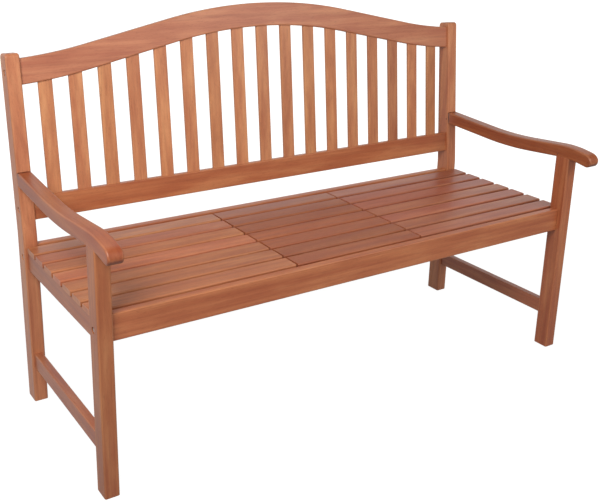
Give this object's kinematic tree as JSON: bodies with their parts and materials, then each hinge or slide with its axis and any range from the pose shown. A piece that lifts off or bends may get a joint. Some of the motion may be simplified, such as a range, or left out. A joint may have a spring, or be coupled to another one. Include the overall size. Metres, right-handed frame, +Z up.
{
  "type": "garden bench with lifting table",
  "caption": "Slatted wooden garden bench with a humped back and curved arms; its middle seat panel swings up level on four links to make a table between the seats.",
  "frame": {"origin": "on the floor under the middle of the bench's outer box", "axes": "+X along the bench, to the right as seen from the front; +Y to the back; +Z up"},
  "size_m": [1.5, 0.6638, 1.0341],
  "materials": {
    "frame_wood": "oiled satin",
    "table_wood": "oiled satin",
    "zinc_steel": "zinc plated"
  },
  "bodies": {
    "frame": {"armrest_left": "frame_wood", "armrest_right": "frame_wood", "back_post_left": "frame_wood", "back_post_right": "frame_wood", "back_slat_centre": "frame_wood", "back_slats_pair_1": "frame_wood", "back_slats_pair_2": "frame_wood", "back_slats_pair_3": "frame_wood", "back_slats_pair_4": "frame_wood", "back_slats_pair_5": "frame_wood", "back_slats_pair_6": "frame_wood", "back_slats_pair_7": "frame_wood", "back_slats_pair_8": "frame_wood", "crest_rail": "frame_wood", "frame_screws": "zinc_steel", "front_leg_left": "frame_wood", "front_leg_right": "frame_wood", "front_rail": "frame_wood", "link_pins_lower": "zinc_steel", "lower_back_rail": "frame_wood", "rear_rail": "frame_wood", "seat_bearer_left": "frame_wood", "seat_bearer_right": "frame_wood", "seat_slat_left_1": "frame_wood", "seat_slat_left_2": "frame_wood", "seat_slat_left_3": "frame_wood", "seat_slat_left_4": "frame_wood", "seat_slat_left_5": "frame_wood", "seat_slat_left_6": "frame_wood", "seat_slat_left_7": "frame_wood", "seat_slat_right_1": "frame_wood", "seat_slat_right_2": "frame_wood", "seat_slat_right_3": "frame_wood", "seat_slat_right_4": "frame_wood", "seat_slat_right_5": "frame_wood", "seat_slat_right_6": "frame_wood", "seat_slat_right_7": "frame_wood", "side_rail_left": "frame_wood", "side_rail_right": "frame_wood", "stretcher_left": "frame_wood", "stretcher_right": "frame_wood"},
    "rear_links": {"rear_link_left": "frame_wood", "rear_link_right": "frame_wood"},
    "front_links": {"front_link_left": "frame_wood", "front_link_right": "frame_wood"},
    "table": {"link_pins_upper": "zinc_steel", "table_batten_left": "frame_wood", "table_batten_right": "frame_wood", "table_slat_1": "table_wood", "table_slat_2": "table_wood", "table_slat_3": "table_wood", "table_slat_4": "table_wood", "table_slat_5": "table_wood", "table_slat_6": "table_wood", "table_slat_7": "table_wood"}
  },
  "joints": [
    {"name": "table_lift", "type": "hinge", "parent": "frame", "child": "rear_links", "pos_m": [0, 0.0231, 0.419], "axis": [1, 0, 0], "range_deg": [0, 100]},
    {"name": "table_level", "type": "hinge", "parent": "rear_links", "child": "table", "pos_m": [0, 0.2126, 0.419], "axis": [1, 0, 0], "range_deg": [-100, 0]},
    {"name": "front_link_swing", "type": "hinge", "parent": "frame", "child": "front_links", "pos_m": [0, -0.1984, 0.419], "axis": [1, 0, 0], "range_deg": [0, 100]}
  ],
  "couplings": [
    {"joint": "table_level", "follows": "table_lift", "ratio": -1},
    {"joint": "front_link_swing", "follows": "table_lift", "ratio": 1}
  ]
}
